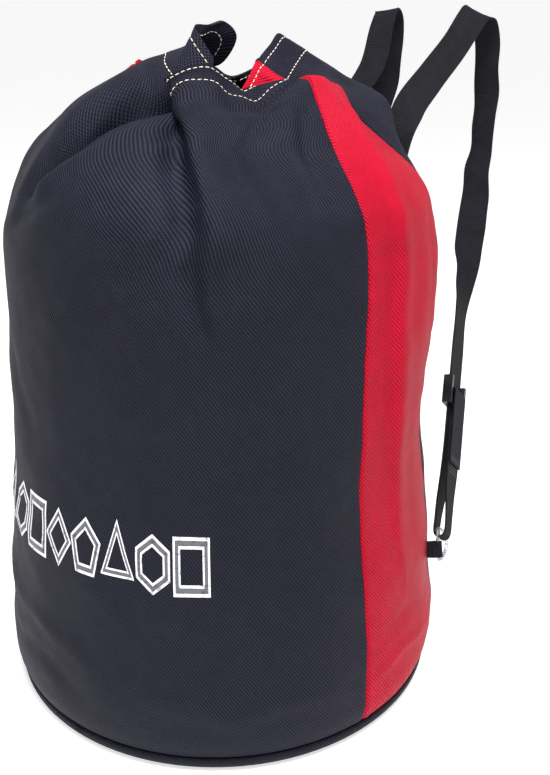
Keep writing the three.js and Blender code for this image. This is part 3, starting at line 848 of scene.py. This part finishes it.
RUNS = {
    "right": [
        [(72, 240, 520), (0.54, 0.36, -0.76)], [(66, 300, 546), (0.54, 0.36, -0.76)],
        [(60, 345, 568), (0.70, 0.25, -0.60)], [(58, 365, 576), (0.85, 0.15, -0.45)],
        [(59, 380, 570), (0.97, 0.00, -0.20)], [(61, 389, 548), (1.00, -0.05, 0.00)],
        [(63, 390, 505), (1.00, -0.10, 0.00)], [(72, 368, 440), (0.95, -0.30, 0.00)],
        [(86, 330, 385), (0.90, 0.05, 0.00)], [(101, 291, 337), (0.65, 0.45, -0.45)],
    ],
    "left": [
        [(70, 240, 486), (0.85, -0.15, -0.40)], [(58, 305, 492), (0.90, -0.30, -0.20)],
        [(52, 342, 520), (0.92, -0.25, -0.10)], [(56, 368, 562), (0.95, -0.05, -0.15)],
        [(58, 382, 576), (0.98, 0.05, -0.15)], [(60, 396, 566), (1.00, 0.00, -0.10)],
        [(62, 397, 520), (1.00, -0.10, 0.00)], [(70, 375, 448), (0.95, -0.20, 0.00)],
        [(85, 333, 388), (0.90, 0.05, 0.00)], [(101, 292, 338), (0.65, 0.45, -0.45)],
    ],
}


def unit(vector):
    vector = np.asarray(vector, dtype=float)
    return vector / np.linalg.norm(vector)


BAR_AXIS = unit(STRAP_START - RING_BAR)
PULL = unit([-0.28, 0.64, 0.715])
REACH = unit(PULL - BAR_AXIS * (PULL @ BAR_AXIS))
FACE_OUT = np.cross(BAR_AXIS, REACH)
ACROSS_RUN = np.cross(PULL, FACE_OUT)
PULL_ANGLE = math.atan2((PULL @ BAR_AXIS) * RING_HALF_BAR, (PULL @ REACH) * RING_REACH)
CROWN = (RING_BAR + BAR_AXIS * RING_HALF_BAR * math.sin(PULL_ANGLE)
         + REACH * RING_REACH * math.cos(PULL_ANGLE))


def on_run(along, off=0.0):
    return CROWN + PULL * along + FACE_OUT * off


def smooth_route(rows, steps):
    """Stations along (point, across, width) rows: points, directions across, widths."""
    points, across, widths = (np.array([r[k] for r in rows], dtype=float) for k in range(3))
    chords = np.linalg.norm(np.diff(points, axis=0), axis=1)
    knots = np.concatenate([[0], np.cumsum(np.sqrt(chords))])
    places = [knots[0]]
    for a, b, chord in zip(knots, knots[1:], chords):
        parts = max(3, int(chord / steps))
        places += [a + (b - a) * (i + 1) / parts for i in range(parts)]
    places = np.array(places)
    wide = np.repeat(widths[:, None], 3, axis=1)
    return hermite(points, knots, places), hermite(across, knots, places), hermite(wide, knots, places)[:, 0]


def webbing_piece(name, stations, thick, side, material, sway=0.0, start=0.0):
    """Flat webbing with thicker woven edges, along stations, mirrored when side is -1.

    sway moves it off its route, and start is how far along the strap its first station lies.
    """
    points, across, widths = stations
    along = np.gradient(points, axis=0)
    along /= np.linalg.norm(along, axis=1, keepdims=True)
    across = across - along * np.sum(across * along, axis=1, keepdims=True)
    across /= np.linalg.norm(across, axis=1, keepdims=True)
    face = np.cross(along, across)
    run = start + distances(points)
    section = [(-1, 0), (-0.975, 0.42), (-0.90, 0.50), (-0.82, 0.42), (-0.4, 0.44), (0, 0.46), (0.4, 0.44),
               (0.82, 0.42), (0.90, 0.50), (0.975, 0.42)]
    section += [(-w, -h) for w, h in section]
    loops = []
    for w, h in section:
        bend = sway * (1 + 1.1 * w * np.sin(run / 27 + 1))
        loops.append(points + across * (w * widths / 2)[:, None] + face * (h * thick + bend)[:, None])
    loops = np.stack(loops, axis=1) * [side, 1, 1]
    count, around = loops.shape[:2]
    u = np.broadcast_to(np.array([w for w, _ in section]) * WEBBING_WIDTH / 2, (count, around))
    v = np.repeat(run[:, None], around, axis=1)
    uv = np.stack([u, v], axis=2).reshape(-1, 2)
    item = closed_body(name, loops.reshape(-1, 3), tube_faces(count, around), uv)
    item.data.materials.append(material)
    return item


def webbing_rows(side_name, side):
    """The whole webbing of one strap: root rows, upper run, straight run, loop and back leg."""
    root = []
    for up, lift in ROOT_LIFTS:
        at = cloth(np.array([side * ANCHOR_AZIMUTH]), np.array([float(up)]), lift)[0][0]
        root.append((at * [side, 1, 1], ROOT_ACROSS, WEBBING_WIDTH))
    root.append((ROOT_TOP, (0.85, -0.3, -0.25), WEBBING_WIDTH))
    root.append((tuple(STRAP_START), (0.72, 0.05, -0.55), WEBBING_WIDTH))
    upper = [(at, across, WEBBING_WIDTH) for at, across in RUNS[side_name]]
    straight = [(232, 0, 30), (185, 0, 30), (LOOP_LENGTH, 0, 30), (75, 0, 30), (50, 1.6, 26), (25, 4.3, 19),
                (8, LOOP_HALF, 15)]
    turn = [(-4 - LOOP_HALF * math.sin(math.radians(a)), LOOP_HALF * math.cos(math.radians(a)), 15)
            for a in (0, 45, 90, 135, 180)]
    back = [(14, -LOOP_HALF, 17), (32, -LEG_HALF, 22), (52, -LEG_HALF, 27), (75, -LEG_HALF, 30),
            (104, -LEG_HALF, 30)]
    run = [(on_run(along, off), -ACROSS_RUN, width) for along, off, width in straight + turn + back]
    return root, upper, run


def slack(points, first, last):
    """How far hanging webbing kinks off its route between two stations."""
    run = distances(points)
    place = np.clip((run - run[first]) / (run[last] - run[first]), 0, 1)
    return 1.9 * np.sin(np.pi * place) ** 0.5 * (np.sin(run / 21) + 0.7 * np.sin(run / 9 + 2))


def strap(side_name, side, material, thread):
    root, upper, run = webbing_rows(side_name, side)
    rows = root + upper + run
    points, across, widths = smooth_route(rows, 4)
    cut = int(np.argmin(np.linalg.norm(points - np.array(upper[APEX][0]), axis=1)))
    length = distances(points)[cut]
    above = (points[:cut + 1], across[:cut + 1], widths[:cut + 1])
    top = webbing_piece(f"{side_name}_webbing_top", above, WEBBING_THICK, side, material)
    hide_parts(f"{side_name}_strap_root")
    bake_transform(top)
    straight = int(np.argmin(np.linalg.norm(points - run[0][0], axis=1)))
    below = (points[cut:], across[cut:], widths[cut:])
    sway = slack(points[cut:], 2, straight - cut)
    drop = webbing_piece(f"{side_name}_webbing_drop", below, WEBBING_THICK, side, material, sway, length)
    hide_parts(f"{side_name}_shoulder_strap", f"{side_name}_strap_loop")
    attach(drop, f"{side_name}_strap")
    leg_end_stitches(side_name, side, thread)
    strap_end(side_name, side, material, thread)
    anchor_patch(side_name, side, material, thread)
    ring_tab(side_name, side, material)


def bar_tack(along, off, half, face, side):
    """Dashes straight across the run. face is 1 for the webbing's outer face and -1 for its inner."""
    line = np.array([on_run(along, off) + ACROSS_RUN * w for w in np.linspace(-half, half, 15)])
    normals = np.tile(FACE_OUT * face, (len(line), 1))
    return dashes_along(line * [side, 1, 1], normals * [side, 1, 1], 2.6, 0.8)


def leg_end_stitches(side_name, side, thread):
    """Bar tacks that close the loop just above the ring."""
    dashes = []
    for along in (54, 57, 60):
        dashes += bar_tack(along, -LEG_HALF - 0.75, 10, -1, side) + bar_tack(along, 0.75, 10, 1, side)
    dash_mesh(f"{side_name}_loop_tacks", dashes, 0.4, thread, f"{side_name}_strap")


def strap_end(side_name, side, material, thread):
    """The loose end: it lies on the back leg and is turned round the slider's middle bar."""
    thick = 1.6
    outer = LEG_HALF + WEBBING_THICK / 2 + 0.3 + thick / 2
    inner = WEBBING_THICK / 2 + 0.3 + thick / 2
    half, middle = (outer - inner) / 2, (outer + inner) / 2
    rows = [(on_run(a, -outer), ACROSS_RUN, 29) for a in (62, 90, LOOP_LENGTH - 8)]
    for i in range(5):
        a = math.pi * i / 4
        rows.append((on_run(LOOP_LENGTH + 3 * math.sin(a), -middle - half * math.cos(a)), ACROSS_RUN, 29))
    rows += [(on_run(LOOP_LENGTH - a, -inner), ACROSS_RUN, 29) for a in (8, 15)]
    item = webbing_piece(f"{side_name}_loose_end", smooth_route(rows, 4), thick, side, material)
    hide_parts(f"{side_name}_strap_end")
    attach(item, f"{side_name}_adjuster")
    dashes = bar_tack(65, -outer - 0.75, 12, -1, side) + bar_tack(68, -outer - 0.75, 12, -1, side)
    dash_mesh(f"{side_name}_end_stitches", dashes, 0.4, thread, f"{side_name}_adjuster")


def box_lines(half, low, high):
    """The four sides of a sewn box, as pairs of (across, distance up the cloth)."""
    corners = [(-half, low), (half, low), (half, high), (-half, high)]
    return list(zip(corners, corners[1:] + corners[:1]))


def anchor_patch(side_name, side, material, thread):
    """The patch under the strap's root, with the box and cross that sew both to the back."""
    half, low, high = 8.5, 380.0, 446.0
    columns, rows = 15, 21
    grid_a, grid_u = np.meshgrid(np.linspace(-half, half, columns), np.linspace(low, high, rows))
    azimuth = side * ANCHOR_AZIMUTH + grid_a.ravel()
    edge = np.minimum(half - np.abs(grid_a), np.minimum(grid_u - low, high - grid_u) / 3.2)
    lift = 0.5 + 1.0 * smoothstep(edge.ravel(), 0, 0.9)
    outer = cloth(azimuth, grid_u.ravel(), lift)[0].reshape(rows, columns, 3)
    inner = cloth(azimuth, grid_u.ravel(), -0.3)[0].reshape(rows, columns, 3)
    uv = np.stack([np.radians(grid_a) * PATCH_RADIUS, grid_u], axis=2)
    item = sheet_with_thickness(f"{side_name}_back_patch", outer, inner, uv)
    item.data.materials.append(material)
    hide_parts(f"{side_name}_anchor_patch")
    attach(item, "bag")
    dashes = []
    part = np.linspace(0, 1, 24)
    for (a0, u0), (a1, u1) in box_lines(7.4, 384, 442):  # near the patch's edge, degrees across
        points, normal = cloth(side * (ANCHOR_AZIMUTH + a0 + (a1 - a0) * part), u0 + (u1 - u0) * part, 1.6)
        dashes += dashes_along(points, normal, 3.4, 0.75)
    cross = [((-11, 391), (11, 428)), ((11, 391), (-11, 428))]  # on the webbing, millimetres across
    for (x0, u0), (x1, u1) in box_lines(11, 391, 428) + cross:
        up = u0 + (u1 - u0) * part
        lift = np.interp(up, *zip(*ROOT_LIFTS)) + WEBBING_THICK / 2 + 0.1
        middle, normal = cloth(np.full_like(up, side * ANCHOR_AZIMUTH), up, lift)
        aside = np.outer(x0 + (x1 - x0) * part, unit(ROOT_ACROSS) * [side, 1, 1])
        dashes += dashes_along(middle + aside, normal, 3.4, 0.75)
    dash_mesh(f"{side_name}_patch_stitches", dashes, 0.4, thread, "bag")


def ring_tab(side_name, side, material):
    """Webbing folded round the ring's straight side and sewn into the back seam."""
    inward = np.array([-math.sin(math.radians(BACK_SEAM)), math.cos(math.radians(BACK_SEAM)), 0])
    inward = unit(inward - BAR_AXIS * (inward @ BAR_AXIS))
    aside = np.cross(BAR_AXIS, inward)
    turn = 2.9

    def at(deep, off):
        return RING_BAR - BAR_AXIS * 4 + inward * deep + aside * off

    rows = [(at(11, turn * 0.5), BAR_AXIS, 15), (at(4, turn), BAR_AXIS, 15)]
    for i in range(7):
        a = math.pi * i / 6
        rows.append((at(-turn * math.sin(a), turn * math.cos(a)), BAR_AXIS, 15))
    rows += [(at(4, -turn), BAR_AXIS, 15), (at(11, -turn * 0.5), BAR_AXIS, 15)]
    item = webbing_piece(f"{side_name}_ring_loop", smooth_route(rows, 1.5), 1.4, side, material)
    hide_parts(f"{side_name}_ring_tab")
    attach(item, "bag")


EYELET = [
    (3.0, 0.2), (3.2, 1.0), (3.9, 1.5), (4.8, 1.4), (5.8, 0.7), (6.0, 0.15), (5.0, 0.0), (5.0, -2.1),
    (5.8, -2.4), (4.8, -3.0), (3.6, -2.9), (3.0, -2.2),
]  # radius, and height off the cloth


def eyelet(side_name, side, material):
    """A rolled metal eyelet through the back of the hem."""
    azimuth, up = np.array([side * 160.0]), np.array([589.0])
    at, out = (v[0] for v in cloth(azimuth, up))
    level = unit(np.cross(cloth(azimuth, up + 6)[0][0] - at, out))
    rise = np.cross(out, level)
    steps = 32
    points = []
    for radius, height in EYELET:
        for i in range(steps):
            a = 2 * math.pi * i / steps
            points.append(at + out * height + radius * (level * math.cos(a) + rise * math.sin(a)))
    item = closed_body(f"{side_name}_hem_eyelet", points, hoop_faces(len(EYELET), steps), angle=70)
    item.data.materials.append(material)
    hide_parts(f"{side_name}_cord_eyelet")
    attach(item, "bag")


def finish_hardware(plastic, steel):
    """Moulded edges on the sliders and a round section on the ring wires."""
    for side_name in ("right", "left"):
        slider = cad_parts[f"{side_name}_slider"]
        bevel = slider.modifiers.new("moulded_edges", "BEVEL")
        bevel.width = 0.0007
        bevel.segments = 3
        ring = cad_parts[f"{side_name}_ring"]
        ring.modifiers.new("round_wire", "SUBSURF").levels = 2
        ring.modifiers["round_wire"].render_levels = 2
        for item, material in ((slider, plastic), (ring, steel)):
            item.data.materials.clear()
            item.data.materials.append(material)


# ---------- the whole object ----------

BLACK_CLOTH = ribbed_cloth("black_cloth", (0.0022, 0.0022, 0.0042), (0.022, 0.022, 0.041), 2.2, 0.95)
RED_CLOTH = ribbed_cloth("red_cloth", (0.22, 0.0006, 0.009), (0.66, 0.005, 0.036), 2.3, 0.8)
WEBBING = webbing_material("webbing", (0.001, 0.001, 0.0015), (0.013, 0.013, 0.020), 1.9, 1.5)
TAPE = fibre_material("binding_tape", (0.008, 0.008, 0.011), (0.030, 0.030, 0.038), 650, 3, 0.75, 0.0004)
THREAD = fibre_material("cream_thread", (0.46, 0.36, 0.27), (0.82, 0.73, 0.62), 900, 1, 0.6, 0.0003, 0.2)
BLACK_THREAD = fibre_material("black_thread", (0.01, 0.01, 0.014), (0.07, 0.07, 0.085), 900, 1, 0.6, 0.0003,
                              0.2)
PLASTIC = plastic_material()
STEEL = steel_material()

add_camera()
add_studio()

panel("front_cloth", -FRONT_SEAM, FRONT_SEAM, BLACK_CLOTH, "front_panel")
panel("right_side_cloth", FRONT_SEAM, BACK_SEAM, RED_CLOTH, "right_side_panel")
panel("back_cloth", BACK_SEAM, 360 - BACK_SEAM, BLACK_CLOTH, "back_panel")
panel("left_side_cloth", -BACK_SEAM, -FRONT_SEAM, RED_CLOTH, "left_side_panel")
base_cloth(BLACK_CLOTH)
seam_tapes(TAPE)
hem_stitches(THREAD)
printed_band(ink_material("white_ink", (0.30, 0.30, 0.33), (0.82, 0.82, 0.84)),
             ink_material("grey_ink", (0.03, 0.03, 0.04), (0.10, 0.10, 0.12)))

for side_name, side in (("right", 1), ("left", -1)):
    strap(side_name, side, WEBBING, BLACK_THREAD)
    eyelet(side_name, side, STEEL)
finish_hardware(PLASTIC, STEEL)
